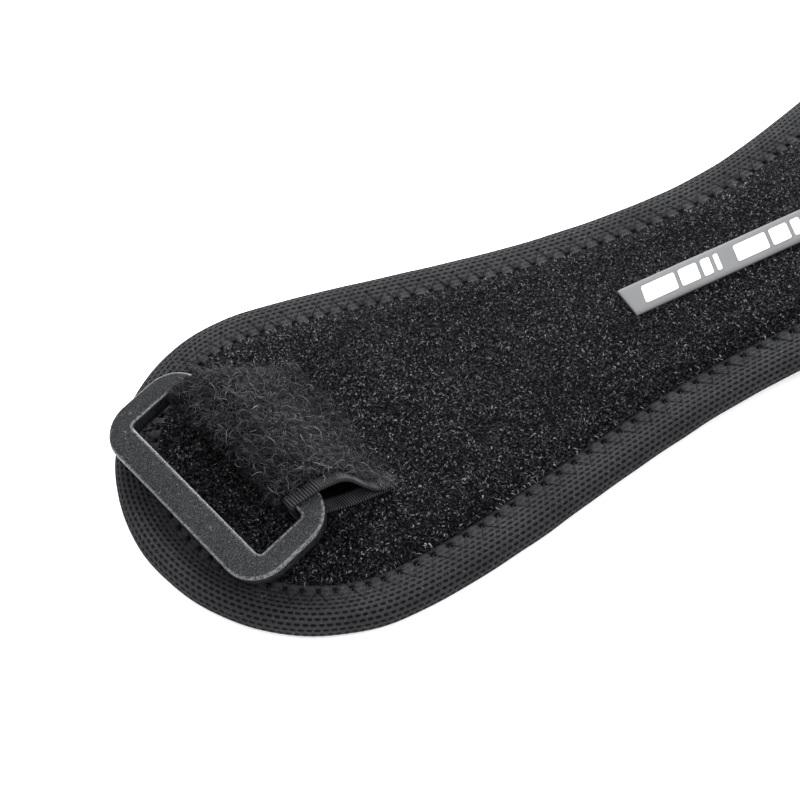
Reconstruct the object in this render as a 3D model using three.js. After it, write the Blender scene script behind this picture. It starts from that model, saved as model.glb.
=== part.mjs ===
// A patella strap lying face up: a loop-faced foam band with a folded tape
// binding, a rectangular ring held in a short loop of tape, a thin strip on
// the face and a hook patch on the tail that goes through the ring.
// Millimetres. +X runs from the ring end to the tail, +Z is up.
import * as THREE from "three";
import { mergeVertices } from "three/addons/utils/BufferGeometryUtils.js";

// Plan of the band, from the round end with the ring to the tip of the tail
const strapLength = 400;
const noseLength = 31;
const lobeHalfWidth = 33;
const lobeToWaist = 78;
const waistHalfWidth = 22.5;
const waistToCentre = 71;
const centreHalfWidth = 37;
const centreToNeck = 71;
const neckHalfWidth = 22.5;
const neckToTail = 61;
const tailHalfWidth = 14;
const tailNose = 14;

// Section of the band
const edgeHeight = 4.4;
const faceSwell = 1.0;
const swellRun = 3.0;
const shoulderRun = 1.2;
const shoulderShare = 0.75;
const stepShare = 0.2;
const baseGap = 0.3;
const bindingWidth = 7.2;
const bindingThick = 0.9;
const archHeight = 10;
const clearance = 0.3;

// Ring
const slotLength = 32.2;
const slotWidth = 8.5;
const outerBar = 4.8;
const innerBar = 4.2;
const sideBar = 3.9;
const ringThick = 3;
const ringCorner = 6;
const slotCorner = 0.8;
const ringBevel = 0.5;
const slotFromTip = 14.2;
const slotAside = -1.8;
const ringTurn = THREE.MathUtils.degToRad(16);
const ringTilt = THREE.MathUtils.degToRad(15.5);
const ringGap = 0.36;

// Tape loop round the ring's inner bar
const tapeWidth = 30;
const tapeThick = 0.7;
const loopReach = 16.8;
const seamLength = 3;
const seamBearing = THREE.MathUtils.degToRad(5);
const seamTurn = THREE.MathUtils.degToRad(10);
const seamDrop = THREE.MathUtils.degToRad(25);
const wrapStart = THREE.MathUtils.degToRad(-100);
const wrapEnd = THREE.MathUtils.degToRad(-290);

// How far the tape runs straight at each end of its two curves, and where
// the lower curve leaves the face, as shares of loopReach
const leaveFace = 0.55;
const faceRun = 0.25;
const barRunBelow = 0.2;
const barRunAbove = 0.25;
const seamRun = 0.3;

// Strip on the face
const stripFromWaist = -20;
const stripLength = 78;
const stripWidth = 6.3;
const stripThick = 0.5;
const stripAside = 1;

// Hook patch on the tail
const hookLength = 56;
const hookWidth = 22;
const hookThick = 1.2;
const hookCorner = 4;
const hookFromTip = 8;

// Stations along the band
const lobeX = noseLength;
const waistX = lobeX + lobeToWaist;
const centreX = waistX + waistToCentre;
const neckX = centreX + centreToNeck;
const tailX = neckX + neckToTail;
const tailEndX = strapLength - tailNose;

// Half widths along the band. The edge eases from each row to the next in a
// number of steps, and with a lean under 1 it changes sooner.
const halfWidths = [
  { x: lobeX, half: lobeHalfWidth, lean: 0.85, steps: 10 },
  { x: waistX, half: waistHalfWidth, lean: 1, steps: 9 },
  { x: centreX, half: centreHalfWidth, lean: 1, steps: 9 },
  { x: neckX, half: neckHalfWidth, lean: 1, steps: 8 },
  { x: tailX, half: tailHalfWidth, lean: 1, steps: 6 },
  { x: tailEndX, half: tailHalfWidth, lean: 1, steps: 0 },
];
const noseSteps = 12;
const tailNoseSteps = 8;
const rollSteps = 4;

function ease(t) {
  return (1 - Math.cos(Math.PI * THREE.MathUtils.clamp(t, 0, 1))) / 2;
}

// The band bows up between its two ends, which both lie on the surface
function lift(x) {
  const side = x < centreX ? (x - lobeX) / (centreX - lobeX) : (tailX - x) / (tailX - centreX);
  return archHeight * ease(side);
}

// The face swells up inside the binding, and lies flat on the tail
function swell(x) {
  return faceSwell * ease((tailX - x) / (tailX - neckX));
}

// Outline of the band, anticlockwise from the tip of the tail. Each side
// mirrors the other, so point i faces point count - i across the band.
function bandOutline() {
  const side = [];
  for (let i = 0; i < noseSteps; i++) {
    const angle = (Math.PI / 2) * (i / noseSteps);
    side.push(new THREE.Vector2(noseLength * (1 - Math.cos(angle)), lobeHalfWidth * Math.sin(angle)));
  }
  for (let row = 0; row + 1 < halfWidths.length; row++) {
    const from = halfWidths[row];
    const to = halfWidths[row + 1];
    for (let i = 0; i < from.steps; i++) {
      const t = i / from.steps;
      const change = ease(t ** from.lean);
      side.push(new THREE.Vector2(from.x + t * (to.x - from.x), from.half + change * (to.half - from.half)));
    }
  }
  for (let i = 0; i <= tailNoseSteps; i++) {
    const angle = (Math.PI / 2) * (1 - i / tailNoseSteps);
    side.push(new THREE.Vector2(tailEndX + tailNose * Math.cos(angle), tailHalfWidth * Math.sin(angle)));
  }
  const upper = side.slice().reverse();
  const lower = side.slice(1, -1).map((p) => new THREE.Vector2(p.x, -p.y));
  return upper.concat(lower);
}

// Points a given distance inside the outline
function insetPoint(outline, i, distance) {
  const count = outline.length;
  const along = outline[(i + 1) % count].clone().sub(outline[(i + count - 1) % count]).normalize();
  return new THREE.Vector2(outline[i].x - along.y * distance, outline[i].y + along.x * distance);
}

// One row of points round the band for each { inset, z } of a section
function sectionRows(outline, sectionAt) {
  const rows = sectionAt(0).map(() => []);
  outline.forEach((p, i) => {
    sectionAt(p.x).forEach(({ inset, z }, row) => {
      const q = insetPoint(outline, i, inset);
      rows[row].push([q.x, q.y, z + lift(q.x)]);
    });
  });
  return rows;
}

function solidFrom(positions, triangles) {
  const geometry = new THREE.BufferGeometry();
  geometry.setAttribute("position", new THREE.Float32BufferAttribute(positions.flat(), 3));
  geometry.setIndex(triangles.flat());
  geometry.computeVertexNormals();
  return geometry;
}

function ringTriangles(firstRow, secondRow, count) {
  const triangles = [];
  for (let i = 0; i < count; i++) {
    const next = (i + 1) % count;
    const a = firstRow * count + i;
    const b = firstRow * count + next;
    const c = secondRow * count + next;
    const d = secondRow * count + i;
    triangles.push([a, c, b], [a, d, c]);
  }
  return triangles;
}

// Flat cap across the band between the facing points of one row
function capTriangles(row, count, facesUp) {
  const triangles = [];
  const at = (i) => row * count + (i % count);
  for (let i = 0; i < count / 2; i++) {
    const a = at(i);
    const b = at(i + 1);
    const c = at(count - i - 1);
    const d = at(count - i);
    if (b !== c) triangles.push([a, b, c]);
    if (a !== d) triangles.push([a, c, d]);
  }
  return facesUp ? triangles : triangles.map(([a, b, c]) => [a, c, b]);
}

function halfRound(centreInset, centreZ, radius) {
  const points = [];
  for (let i = 0; i <= rollSteps; i++) {
    const angle = Math.PI / 2 + Math.PI * (i / rollSteps);
    points.push({ inset: centreInset + radius * Math.cos(angle), z: centreZ + radius * Math.sin(angle) });
  }
  return points;
}

// Foam band: a tongue inside the folded binding, a step, and a swollen face
function panelSection(x) {
  const middle = edgeHeight / 2;
  const tongue = middle - bindingThick - clearance;
  const step = bindingWidth + clearance;
  const rise = swell(x);
  return [
    { inset: step + swellRun, z: edgeHeight + rise },
    { inset: step + shoulderRun, z: edgeHeight + shoulderShare * rise },
    { inset: step, z: edgeHeight + stepShare * rise },
    { inset: step, z: middle + tongue },
    ...halfRound(middle, middle, tongue),
    { inset: step, z: middle - tongue },
    { inset: step, z: baseGap },
  ];
}

function panelGeometry(outline) {
  const rows = sectionRows(outline, panelSection);
  const count = outline.length;
  const triangles = capTriangles(0, count, true).concat(capTriangles(rows.length - 1, count, false));
  for (let row = 0; row + 1 < rows.length; row++) {
    triangles.push(...ringTriangles(row, row + 1, count));
  }
  return solidFrom(rows.flat(), triangles);
}

// Binding: a tape folded round the edge, flat on both sides of the band
function bindingSection() {
  const middle = edgeHeight / 2;
  const outer = halfRound(middle, middle, middle);
  const inner = halfRound(middle, middle, middle - bindingThick).reverse();
  return [
    { inset: bindingWidth, z: edgeHeight },
    ...outer,
    { inset: bindingWidth, z: 0 },
    { inset: bindingWidth, z: bindingThick },
    ...inner,
    { inset: bindingWidth, z: edgeHeight - bindingThick },
  ];
}

function bindingGeometry(outline) {
  const rows = sectionRows(outline, bindingSection);
  const triangles = [];
  for (let row = 0; row < rows.length; row++) {
    triangles.push(...ringTriangles(row, (row + 1) % rows.length, outline.length));
  }
  return solidFrom(rows.flat(), triangles);
}

function roundedRectangle(shape, left, bottom, right, top, radius) {
  shape.moveTo(left + radius, bottom);
  shape.lineTo(right - radius, bottom);
  shape.absarc(right - radius, bottom + radius, radius, -Math.PI / 2, 0);
  shape.lineTo(right, top - radius);
  shape.absarc(right - radius, top - radius, radius, 0, Math.PI / 2);
  shape.lineTo(left + radius, top);
  shape.absarc(left + radius, top - radius, radius, Math.PI / 2, Math.PI);
  shape.lineTo(left, bottom + radius);
  shape.absarc(left + radius, bottom + radius, radius, Math.PI, 1.5 * Math.PI);
  return shape;
}

// Ring, flat in its own frame: the slot's centre at the origin, its top face
// at z 0 and the inner bar, which the tape holds, on the +X side
function ringGeometry() {
  const slotHalf = slotWidth / 2;
  const lengthHalf = slotLength / 2;
  const shape = roundedRectangle(
    new THREE.Shape(),
    -slotHalf - outerBar + ringBevel,
    -lengthHalf - sideBar + ringBevel,
    slotHalf + innerBar - ringBevel,
    lengthHalf + sideBar - ringBevel,
    ringCorner - ringBevel,
  );
  shape.holes.push(roundedRectangle(
    new THREE.Path(),
    -slotHalf - ringBevel,
    -lengthHalf - ringBevel,
    slotHalf + ringBevel,
    lengthHalf + ringBevel,
    slotCorner + ringBevel,
  ));
  const geometry = new THREE.ExtrudeGeometry(shape, {
    depth: ringThick - 2 * ringBevel,
    bevelThickness: ringBevel,
    bevelSize: ringBevel,
    bevelSegments: 2,
    curveSegments: 5,
  });
  return geometry.translate(0, 0, ringBevel - ringThick);
}

// Height of the ring's top face at the slot's centre: its low outer edge
// rests on the binding
const ringHeight = edgeHeight + ringGap
  + (slotWidth / 2 + outerBar) * Math.sin(ringTilt) + ringThick * Math.cos(ringTilt);
const slotCentre = new THREE.Vector3(slotFromTip, slotAside, ringHeight);

// Centre of the inner bar, and how far it lies from the slot's centre in plan
const barReach = (slotWidth / 2 + innerBar / 2) * Math.cos(ringTilt) + (ringThick / 2) * Math.sin(ringTilt);
const barHeight = ringHeight + (slotWidth / 2 + innerBar / 2) * Math.sin(ringTilt)
  - (ringThick / 2) * Math.cos(ringTilt);

// Middle line of the tape in its side view: from the seam along the face,
// up round the bar and back over it down to the seam. The first axis is the
// distance from the bar's centre towards the seam, the second is height.
function tapeRoute() {
  const wrap = clearance + tapeThick / 2;
  const lowerZ = edgeHeight + faceSwell + clearance + tapeThick / 2;
  const upperZ = lowerZ + tapeThick;
  const seamStart = loopReach - seamLength;
  const barCorner = (side, face) => new THREE.Vector2(
    (side * innerBar * Math.cos(ringTilt) - face * ringThick * Math.sin(ringTilt)) / 2,
    barHeight + (side * innerBar * Math.sin(ringTilt) + face * ringThick * Math.cos(ringTilt)) / 2,
  );
  const onArc = (corner, angle) => new THREE.Vector2(
    corner.x + wrap * Math.cos(angle),
    corner.y + wrap * Math.sin(angle),
  );
  const frontNormal = -Math.PI + ringTilt;
  const topNormal = -1.5 * Math.PI + ringTilt;
  const arcs = [
    { corner: barCorner(-1, -1), from: wrapStart, to: frontNormal, steps: 4 },
    { corner: barCorner(-1, 1), from: frontNormal, to: topNormal, steps: 5 },
    { corner: barCorner(1, 1), from: topNormal, to: wrapEnd, steps: 3 },
  ];
  const wrapPoints = [];
  for (const { corner, from, to, steps } of arcs) {
    for (let i = 0; i <= steps; i++) {
      wrapPoints.push(onArc(corner, from + (to - from) * (i / steps)));
    }
  }
  const heading = (angle, length) => new THREE.Vector2(Math.cos(angle), Math.sin(angle)).multiplyScalar(length);
  const under = new THREE.Vector2(leaveFace * loopReach, lowerZ);
  const meetsBar = wrapPoints[0];
  const leavesBar = wrapPoints[wrapPoints.length - 1];
  const seam = new THREE.Vector2(seamStart, upperZ);
  const rise = new THREE.CubicBezierCurve(
    under,
    under.clone().add(heading(Math.PI, faceRun * loopReach)),
    meetsBar.clone().sub(heading(wrapStart - Math.PI / 2, barRunBelow * loopReach)),
    meetsBar,
  );
  const fall = new THREE.CubicBezierCurve(
    leavesBar,
    leavesBar.clone().add(heading(wrapEnd - Math.PI / 2, barRunAbove * loopReach)),
    seam.clone().sub(heading(-seamDrop, seamRun * loopReach)),
    seam,
  );
  return {
    seamBelow: new THREE.Vector2(seamStart, lowerZ),
    loose: [...rise.getPoints(6), ...wrapPoints.slice(1, -1), ...fall.getPoints(8)],
    endBelow: new THREE.Vector2(loopReach, lowerZ),
    endAbove: new THREE.Vector2(loopReach, upperZ),
  };
}

// Points beside a route, at a distance to its left
function besideRoute(route, distance) {
  return route.map((p, i) => {
    const before = route[Math.max(i - 1, 0)];
    const after = route[Math.min(i + 1, route.length - 1)];
    const along = after.clone().sub(before).normalize();
    return new THREE.Vector2(p.x - along.y * distance, p.y + along.x * distance);
  });
}

// The tape turns from the ring's direction to the seam's on its way
function tapeGeometry() {
  const route = tapeRoute();
  const outer = besideRoute([route.endBelow, ...route.loose, route.endAbove], tapeThick / 2);
  const eye = besideRoute([route.seamBelow, ...route.loose], -tapeThick / 2);
  eye.pop();
  const shape = new THREE.Shape(outer);
  shape.holes.push(new THREE.Path(eye.reverse()));
  const geometry = new THREE.ExtrudeGeometry(shape, { depth: tapeWidth, steps: 3, bevelEnabled: false });
  const position = geometry.attributes.position;
  for (let i = 0; i < position.count; i++) {
    const reach = position.getX(i);
    const across = position.getZ(i) - tapeWidth / 2;
    const turn = ringTurn + (seamTurn - ringTurn) * THREE.MathUtils.clamp(reach / loopReach, 0, 1);
    const x = slotCentre.x + barReach * Math.cos(ringTurn) + reach * Math.cos(seamBearing)
      + across * Math.sin(turn);
    const y = slotCentre.y + barReach * Math.sin(ringTurn) + reach * Math.sin(seamBearing)
      - across * Math.cos(turn);
    position.setXYZ(i, x, y, position.getY(i) + lift(x));
  }
  return geometry;
}

// Strip on the face, bowed with the band
function stripGeometry() {
  const geometry = new THREE.BoxGeometry(stripLength, stripWidth, stripThick, 12, 1, 1);
  const base = edgeHeight + faceSwell + clearance + stripThick / 2;
  geometry.translate(waistX + stripFromWaist + stripLength / 2, stripAside, base);
  const position = geometry.attributes.position;
  for (let i = 0; i < position.count; i++) {
    position.setZ(i, position.getZ(i) + lift(position.getX(i)));
  }
  return geometry;
}

function hookGeometry() {
  const right = strapLength - hookFromTip;
  const shape = roundedRectangle(
    new THREE.Shape(), right - hookLength, -hookWidth / 2, right, hookWidth / 2, hookCorner,
  );
  const geometry = new THREE.ExtrudeGeometry(shape, { depth: hookThick, bevelEnabled: false, curveSegments: 4 });
  return geometry.translate(0, 0, edgeHeight + clearance);
}

function closedBody(geometry) {
  const bare = geometry.clone();
  bare.deleteAttribute("normal");
  bare.deleteAttribute("uv");
  const merged = mergeVertices(bare, 1e-4);
  merged.computeVertexNormals();
  return merged;
}

function addPiece(group, name, geometry, look) {
  const mesh = new THREE.Mesh(closedBody(geometry), new THREE.MeshStandardMaterial(look));
  mesh.name = name;
  group.add(mesh);
  return mesh;
}

const outline = bandOutline();
const strap = new THREE.Group();
addPiece(strap, "panel", panelGeometry(outline), { color: 0x121214, roughness: 0.97, metalness: 0 });
addPiece(strap, "edge_binding", bindingGeometry(outline), { color: 0x1b1c1f, roughness: 0.9, metalness: 0 });
addPiece(strap, "loop_tab", tapeGeometry(), { color: 0x242528, roughness: 0.98, metalness: 0 });
addPiece(strap, "label_strip", stripGeometry(), { color: 0x6c6d70, roughness: 0.6, metalness: 0 });
addPiece(strap, "hook_patch", hookGeometry(), { color: 0x0e0e10, roughness: 0.85, metalness: 0 });

const buckle = addPiece(strap, "buckle", ringGeometry(), { color: 0x2a2b2e, roughness: 0.5, metalness: 0 });
buckle.rotation.set(0, -ringTilt, ringTurn, "ZYX");
buckle.position.copy(slotCentre);

// The origin is the middle of the footprint, on the surface that it lies on
strap.updateMatrixWorld(true);
const box = new THREE.Box3().setFromObject(strap, true);
const middle = box.getCenter(new THREE.Vector3());
strap.position.set(-middle.x, -middle.y, -box.min.z);

export default strap;
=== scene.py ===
# %% [markdown]
# # A patella strap, dressed in Blender
# The strap is a foam band with a looped face, a knitted tape folded round its edge, a moulded ring
# held in a short loop of fuzzy tape, a thin grey strip and a hook patch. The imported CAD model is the
# fixed frame, and each cell below makes one piece or one finish in it. Blender works in metres,
# but cloth is easier to lay out in millimetres, so points turn into metres as a piece is added.

# %% Load the frame
import math
import bmesh
import bpy
import numpy as np
from mathutils import Matrix, Vector


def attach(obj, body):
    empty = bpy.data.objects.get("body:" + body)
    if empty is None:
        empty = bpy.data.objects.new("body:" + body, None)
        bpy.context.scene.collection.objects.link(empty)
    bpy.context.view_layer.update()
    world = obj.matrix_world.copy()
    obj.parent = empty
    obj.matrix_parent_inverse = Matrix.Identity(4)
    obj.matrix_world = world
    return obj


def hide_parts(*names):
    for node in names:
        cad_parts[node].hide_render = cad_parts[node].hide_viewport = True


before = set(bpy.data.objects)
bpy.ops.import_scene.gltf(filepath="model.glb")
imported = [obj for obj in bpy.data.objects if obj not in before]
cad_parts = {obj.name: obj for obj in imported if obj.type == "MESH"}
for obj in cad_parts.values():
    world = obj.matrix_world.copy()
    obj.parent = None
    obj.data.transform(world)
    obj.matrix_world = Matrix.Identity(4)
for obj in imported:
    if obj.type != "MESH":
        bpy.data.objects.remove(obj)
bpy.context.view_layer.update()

# %% [markdown]
# ## The camera
# The photograph looks down on the ring end at 50 degrees, from about 22 cm away. A camera can be
# aimed with a constraint, but a matrix built from its own axes has no roll to guess and stays put.

# %% Place the camera
CAMERA_FROM = Vector((-0.212646, -0.120561, 0.167335))
ELEVATION = math.radians(50)
BEARING = 1.1170606
FOCAL_PIXELS = 1310.64
PICTURE = 800

ahead = Vector((
    math.cos(BEARING) * math.cos(ELEVATION),
    math.sin(BEARING) * math.cos(ELEVATION),
    -math.sin(ELEVATION),
))
to_right = Vector((math.sin(BEARING), -math.cos(BEARING), 0))
to_top = to_right.cross(ahead)
facing = Matrix((to_right, to_top, -ahead)).transposed().to_4x4()
camera = bpy.data.objects.new("camera", bpy.data.cameras.new("camera"))
bpy.context.collection.objects.link(camera)
camera.matrix_world = Matrix.Translation(CAMERA_FROM) @ facing
camera.data.sensor_width = 36
camera.data.lens = FOCAL_PIXELS / PICTURE * camera.data.sensor_width
camera.data.clip_start = 0.005
bpy.context.scene.camera = camera
print("lens", round(camera.data.lens, 2), "mm")

# %% [markdown]
# ## Small tools for meshes
# Cloth tape, pile and moulded edges are all rows of points joined by quads. Building them with numpy
# arrays is much faster than calling operators, and every point stays where the drawing puts it.

# %% Turn arrays into objects
MM = 0.001
STRAP_LENGTH = 400
rng = np.random.default_rng(7)


def add_object(name, points, faces):
    mesh = bpy.data.meshes.new(name)
    faces = faces.tolist() if isinstance(faces, np.ndarray) else faces
    mesh.from_pydata(np.asarray(points).tolist(), [], faces)
    mesh.polygons.foreach_set("use_smooth", [True] * len(mesh.polygons))
    piece = bpy.data.objects.new(name, mesh)
    bpy.context.collection.objects.link(piece)
    print(name, count_triangles(piece), "triangles")
    return piece


def centred(points):
    """Points of the plan, which starts at the round end, with the strap's middle at x = 0."""
    return np.asarray(points, dtype=float).reshape(-1, 3) - [STRAP_LENGTH / 2, 0, 0]


def add_piece(name, points, faces, *finishes):
    piece = add_object(name, centred(points) * MM, faces)
    for finish in finishes:
        piece.data.materials.append(finish)
    return piece


def write_attribute(piece, name, values):
    values = np.asarray(values, dtype=np.float32)
    kind, field = ("FLOAT_VECTOR", "vector") if values.ndim == 2 else ("FLOAT", "value")
    attribute = piece.data.attributes.new(name, kind, "POINT")
    attribute.data.foreach_set(field, values.ravel())


def count_triangles(piece):
    return sum(len(p.vertices) - 2 for p in piece.data.polygons)


# %% Join rows of points
def grid_faces(rows, columns, wrap_rows=False, wrap_columns=False, first=0):
    r = np.arange(rows if wrap_rows else rows - 1)[:, None]
    c = np.arange(columns if wrap_columns else columns - 1)[None, :]
    next_r, next_c = (r + 1) % rows, (c + 1) % columns
    quad = np.stack(np.broadcast_arrays(
        r * columns + c, r * columns + next_c, next_r * columns + next_c, next_r * columns + c,
    ), axis=-1)
    return quad.reshape(-1, 4) + first


def sheet_faces(rows, across):
    """Faces over both sides of a flat tape and over its ends, for rows that go round the section."""
    columns = 2 * across
    faces = grid_faces(rows, columns, wrap_columns=True)[:, ::-1].tolist()
    for row in (0, rows - 1):
        for k in range(across - 1):
            a, b = row * columns + k, row * columns + columns - 1 - k
            face = [a, a + 1, b - 1, b]
            faces.append(face[::-1] if row else face)
    return faces


def ease(t):
    return (1 - np.cos(np.pi * np.clip(t, 0, 1))) / 2


# %% [markdown]
# ## The plan of the band
# These are the same sizes as in the CAD source, in millimetres, with x from the round end to the
# tail. The edge is sampled finely and measured along its length, so that holes, stitches and pile
# can be laid at their real spacing all the way round.

# %% Measure out the edge
NOSE_LENGTH, NOSE_HALF = 31, 33
TAIL_FROM, TAIL_HALF = 386, 14
HALF_WIDTHS = [
    (NOSE_LENGTH, NOSE_HALF, 0.85), (109, 22.5, 1), (180, 37, 1), (251, 22.5, 1),
    (312, TAIL_HALF, 1), (TAIL_FROM, TAIL_HALF, 1),
]
EDGE_HEIGHT = 4.4
FACE_SWELL = 1.0
BINDING_WIDTH = 7.2
ARCH_HEIGHT = 10
ARCH_FROM, ARCH_TOP, ARCH_TO = 31, 180, 312
SWELL_FROM, SWELL_TO = 312, 251


def half_width(x):
    x = np.asarray(x, dtype=float)
    half = NOSE_HALF * np.sqrt(np.clip(1 - ((NOSE_LENGTH - x) / NOSE_LENGTH) ** 2, 0, 1))
    for (a, from_half, lean), (b, to_half, _) in zip(HALF_WIDTHS, HALF_WIDTHS[1:]):
        change = ease(np.clip((x - a) / (b - a), 0, 1) ** lean)
        half = np.where((x >= a) & (x <= b), from_half + (to_half - from_half) * change, half)
    tail = np.sqrt(np.clip(TAIL_HALF ** 2 - (x - TAIL_FROM) ** 2, 0, None))
    return np.where(x > TAIL_FROM, tail, half)


def lift(x):
    x = np.asarray(x, dtype=float)
    rising = (x - ARCH_FROM) / (ARCH_TOP - ARCH_FROM)
    falling = (ARCH_TO - x) / (ARCH_TO - ARCH_TOP)
    return ARCH_HEIGHT * ease(np.where(x < ARCH_TOP, rising, falling))


def lifted(x, y, height):
    return np.stack(np.broadcast_arrays(x, y, height + lift(x)), axis=-1)


def swell(x):
    return FACE_SWELL * ease((SWELL_FROM - np.asarray(x, dtype=float)) / (SWELL_FROM - SWELL_TO))


turn = np.linspace(0, math.pi / 2, 500)
straight = np.arange(NOSE_LENGTH + 0.1, TAIL_FROM - 0.05, 0.1)
far_x = np.concatenate([
    NOSE_LENGTH * (1 - np.cos(turn)), straight, TAIL_FROM + TAIL_HALF * np.sin(turn),
])
far_y = np.concatenate([NOSE_HALF * np.sin(turn), half_width(straight), TAIL_HALF * np.cos(turn)])
edge_x = np.concatenate([far_x, far_x[-2:0:-1], far_x[:1]])
edge_y = np.concatenate([far_y, -far_y[-2:0:-1], far_y[:1]])
edge_at = np.concatenate([[0], np.cumsum(np.hypot(np.diff(edge_x), np.diff(edge_y)))])
EDGE_LENGTH = edge_at[-1]


def edge_points(u):
    return [np.interp(u % EDGE_LENGTH, edge_at, line) for line in (edge_x, edge_y)]


def inset_points(u, inset, height, reach=0.4):
    """Points at the distances u along the edge, moved into the band and raised from the floor."""
    x, y = edge_points(u)
    along = np.stack(np.subtract(edge_points(u + reach), edge_points(u - reach)), axis=-1)
    along /= np.linalg.norm(along, axis=-1, keepdims=True)
    return lifted(x + along[..., 1] * inset, y - along[..., 0] * inset, height)


print("edge length", round(EDGE_LENGTH, 1), "mm")

# %% [markdown]
# ## Patterns that several finishes share
# Black cloth is only told apart by its texture, so each finish is made of small masks and heights.
# Those that more than one finish needs are node groups with named sockets. They put out only masks,
# colours and heights, and the shader itself stays in each material.

# %% Node helpers
def feed(tree, value, socket):
    if isinstance(value, bpy.types.NodeSocket):
        tree.links.new(value, socket)
    else:
        socket.default_value = value


def calc(tree, operation, *values):
    node = tree.nodes.new("ShaderNodeMath")
    node.operation = operation
    for value, socket in zip(values, node.inputs):
        feed(tree, value, socket)
    return node.outputs[0]


def noise(tree, vector, scale, detail=2.0, roughness=0.5):
    node = tree.nodes.new("ShaderNodeTexNoise")
    for label, value in (
        ("Vector", vector), ("Scale", scale), ("Detail", detail), ("Roughness", roughness),
    ):
        feed(tree, value, node.inputs[label])
    return node.outputs["Fac"]


def remap(tree, value, low, high, to_low=0.0, to_high=1.0):
    node = tree.nodes.new("ShaderNodeMapRange")
    node.interpolation_type = "SMOOTHSTEP"
    for given, socket in zip((value, low, high, to_low, to_high), node.inputs):
        feed(tree, given, socket)
    return node.outputs["Result"]


def blend_colors(tree, factor, first, second, mode="MIX"):
    node = tree.nodes.new("ShaderNodeMix")
    node.data_type = "RGBA"
    node.blend_type = mode
    feed(tree, factor, node.inputs["Factor"])
    for color, socket in ((first, node.inputs["A"]), (second, node.inputs["B"])):
        feed(tree, (*color, 1) if isinstance(color, tuple) else color, socket)
    return node.outputs["Result"]


def split(tree, vector):
    node = tree.nodes.new("ShaderNodeSeparateXYZ")
    tree.links.new(vector, node.inputs[0])
    return node.outputs


def object_place(tree):
    return tree.nodes.new("ShaderNodeTexCoord").outputs["Object"]


def start_group(name, inputs, outputs):
    group = bpy.data.node_groups.new(name, "ShaderNodeTree")
    for label, kind, value in inputs:
        socket = group.interface.new_socket(name=label, in_out="INPUT", socket_type=kind)
        if value is not None:
            socket.default_value = value
    for label, kind in outputs:
        group.interface.new_socket(name=label, in_out="OUTPUT", socket_type=kind)
    given = group.nodes.new("NodeGroupInput").outputs
    return group, given, group.nodes.new("NodeGroupOutput").inputs


FLOAT, COLOR, VECTOR = "NodeSocketFloat", "NodeSocketColor", "NodeSocketVector"
FULL_TURN = 6.283

# %% [markdown]
# ### Lint and fading
# Dark cloth and plastic gather pale specks, and their dye is never quite even. Painting that by hand
# would repeat, so two noises do it, one broad and one fine.

# %% Lint group
LINT, given, made = start_group("Lint", [
    ("Color", COLOR, (0.03, 0.03, 0.03, 1)), ("Unevenness", FLOAT, 0.3),
    ("Blotch Scale", FLOAT, 90.0), ("Lint", FLOAT, 0.2), ("Lint Scale", FLOAT, 900.0),
], [("Color", COLOR)])
place = object_place(LINT)
blotch = remap(LINT, noise(LINT, place, given["Blotch Scale"], 3.0, 0.6), 0.3, 0.7, -1.0, 1.0)
shade = calc(LINT, "MULTIPLY_ADD", blotch, given["Unevenness"], 1.0)
grey = LINT.nodes.new("ShaderNodeCombineColor")
for channel in grey.inputs:
    LINT.links.new(shade, channel)
toned = blend_colors(LINT, 1.0, given["Color"], grey.outputs[0], "MULTIPLY")
speck = remap(LINT, noise(LINT, place, given["Lint Scale"], 1.0, 0.5), 0.68, 0.78)
speck = calc(LINT, "MULTIPLY", speck, given["Lint"])
LINT.links.new(blend_colors(LINT, speck, toned, (0.30, 0.30, 0.31)), made["Color"])
print("group", LINT.name)

# %% [markdown]
# ### Open knit
# The binding is a warp-knitted mesh: rows of small slots, each row shifted by half a slot, between
# cords of yarn. A brick pattern could come from an image, but counting pitches along the tape lets
# the slots follow the edge round every curve.

# %% Open knit group
KNIT, given, made = start_group("Open knit", [
    ("Along and Across", VECTOR, None), ("Pitch Along", FLOAT, 1.2), ("Pitch Across", FLOAT, 0.8),
    ("Slot Length", FLOAT, 0.4), ("Slot Width", FLOAT, 0.2), ("Opening", FLOAT, 1.0),
], [("Slot", FLOAT), ("Height", FLOAT), ("Yarn", FLOAT)])
along, across, _ = split(KNIT, given["Along and Across"])
wobble = calc(KNIT, "MULTIPLY_ADD", noise(KNIT, given["Along and Across"], 0.9, 1.0), 0.3, -0.15)
row = calc(KNIT, "DIVIDE", across, given["Pitch Across"])
odd_row = calc(KNIT, "FLOORED_MODULO", calc(KNIT, "FLOOR", row), 2.0)
column = calc(KNIT, "DIVIDE", along, given["Pitch Along"])
column = calc(KNIT, "ADD", column, calc(KNIT, "MULTIPLY", odd_row, 0.5))
in_column = calc(KNIT, "SUBTRACT", calc(KNIT, "FRACT", column), 0.5)
in_column = calc(KNIT, "ADD", in_column, wobble)
in_row = calc(KNIT, "SUBTRACT", calc(KNIT, "FRACT", row), 0.5)
squares = []
for part, pitch, size in (
    (in_column, "Pitch Along", "Slot Length"), (in_row, "Pitch Across", "Slot Width"),
):
    reach = calc(KNIT, "DIVIDE", calc(KNIT, "MULTIPLY", part, given[pitch]), given[size])
    squares.append(calc(KNIT, "MULTIPLY", reach, reach))
reach = calc(KNIT, "SQRT", calc(KNIT, "ADD", *squares))
slot = calc(KNIT, "MULTIPLY", remap(KNIT, reach, 0.75, 1.25, 1.0, 0.0), given["Opening"])

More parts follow.
